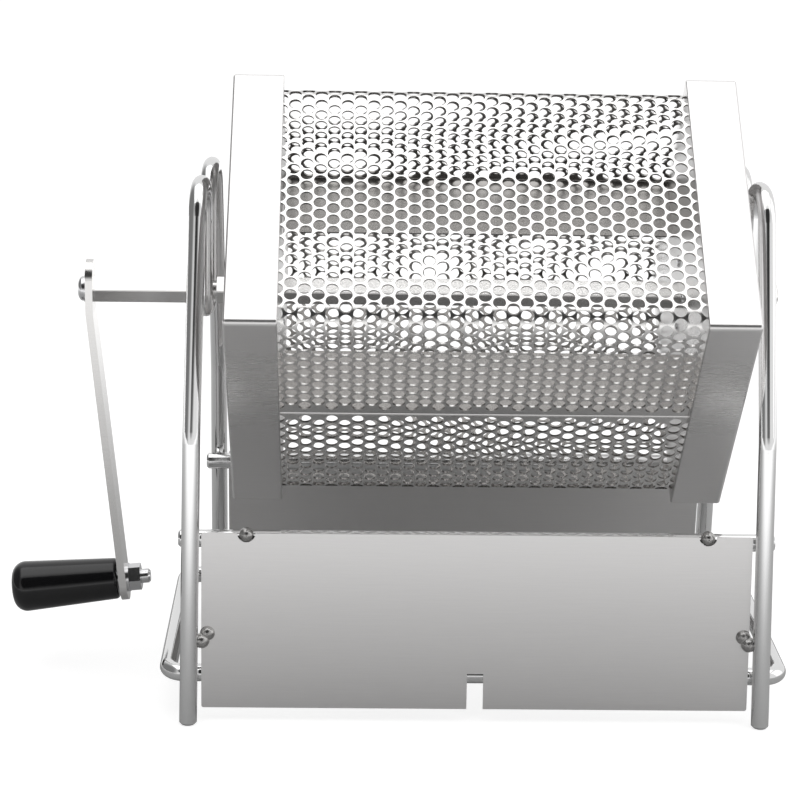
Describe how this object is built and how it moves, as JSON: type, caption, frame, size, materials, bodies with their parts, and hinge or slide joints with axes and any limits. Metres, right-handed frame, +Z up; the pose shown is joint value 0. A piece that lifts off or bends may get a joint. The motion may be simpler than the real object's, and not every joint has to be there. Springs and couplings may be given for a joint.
{
  "type": "stovetop coffee bean roaster",
  "caption": "Hand cranked roaster: a square perforated drum on a square shaft turns in open wire cradles of a chromed wire stand with wind shields front and rear.",
  "frame": {"origin": "on the ground under the middle of the bounding box", "axes": "+X from the crank along the drum's axis, +Y from the front to the back, +Z up"},
  "size_m": [0.3171, 0.1728, 0.2474],
  "materials": {
    "bent_wire": "bright chrome plated steel wire",
    "sheet_steel": "satin stainless steel sheet",
    "bar_steel": "bright drawn stainless steel bar",
    "hardware": "bright zinc plated steel",
    "grip_plastic": "glossy black phenolic plastic"
  },
  "bodies": {
    "stand": {"side_frame_left": "bent_wire", "side_frame_right": "bent_wire", "base_ring": "bent_wire", "front_crossbar": "bent_wire", "rear_crossbar": "bent_wire", "shield_welds": "bent_wire", "front_shield": "sheet_steel", "rear_shield": "sheet_steel"},
    "drum": {"drive_shaft": "bar_steel", "drum_sheet_upper": "sheet_steel", "drum_sheet_lower": "sheet_steel", "end_tray_left": "sheet_steel", "end_tray_right": "sheet_steel", "hub_left": "bar_steel", "hub_right": "bar_steel", "hub_rivets": "hardware", "hub_set_screws": "hardware", "slide_rails": "sheet_steel", "crank_arm": "bar_steel", "crank_screw": "hardware", "crank_washer": "hardware", "grip_spindle": "hardware", "grip_washer": "hardware", "grip_nut": "hardware"},
    "gate": {"loading_slide": "sheet_steel", "slide_knob": "hardware"},
    "grip": {"grip": "grip_plastic", "grip_cap": "grip_plastic"}
  },
  "joints": [
    {"name": "drum_spin", "type": "hinge", "parent": "stand", "child": "drum", "pos_m": [0.03467, 0, 0.161], "axis": [1, 0, 0], "continuous": true},
    {"name": "gate_slide", "type": "slide", "parent": "drum", "child": "gate", "axis": [0, -0.766, -0.6428], "range_m": [0, 0.04]},
    {"name": "grip_spin", "type": "hinge", "parent": "drum", "child": "grip", "pos_m": [-0.11195, 0, 0.037], "axis": [-0.9949, 0, -0.1011], "continuous": true}
  ]
}
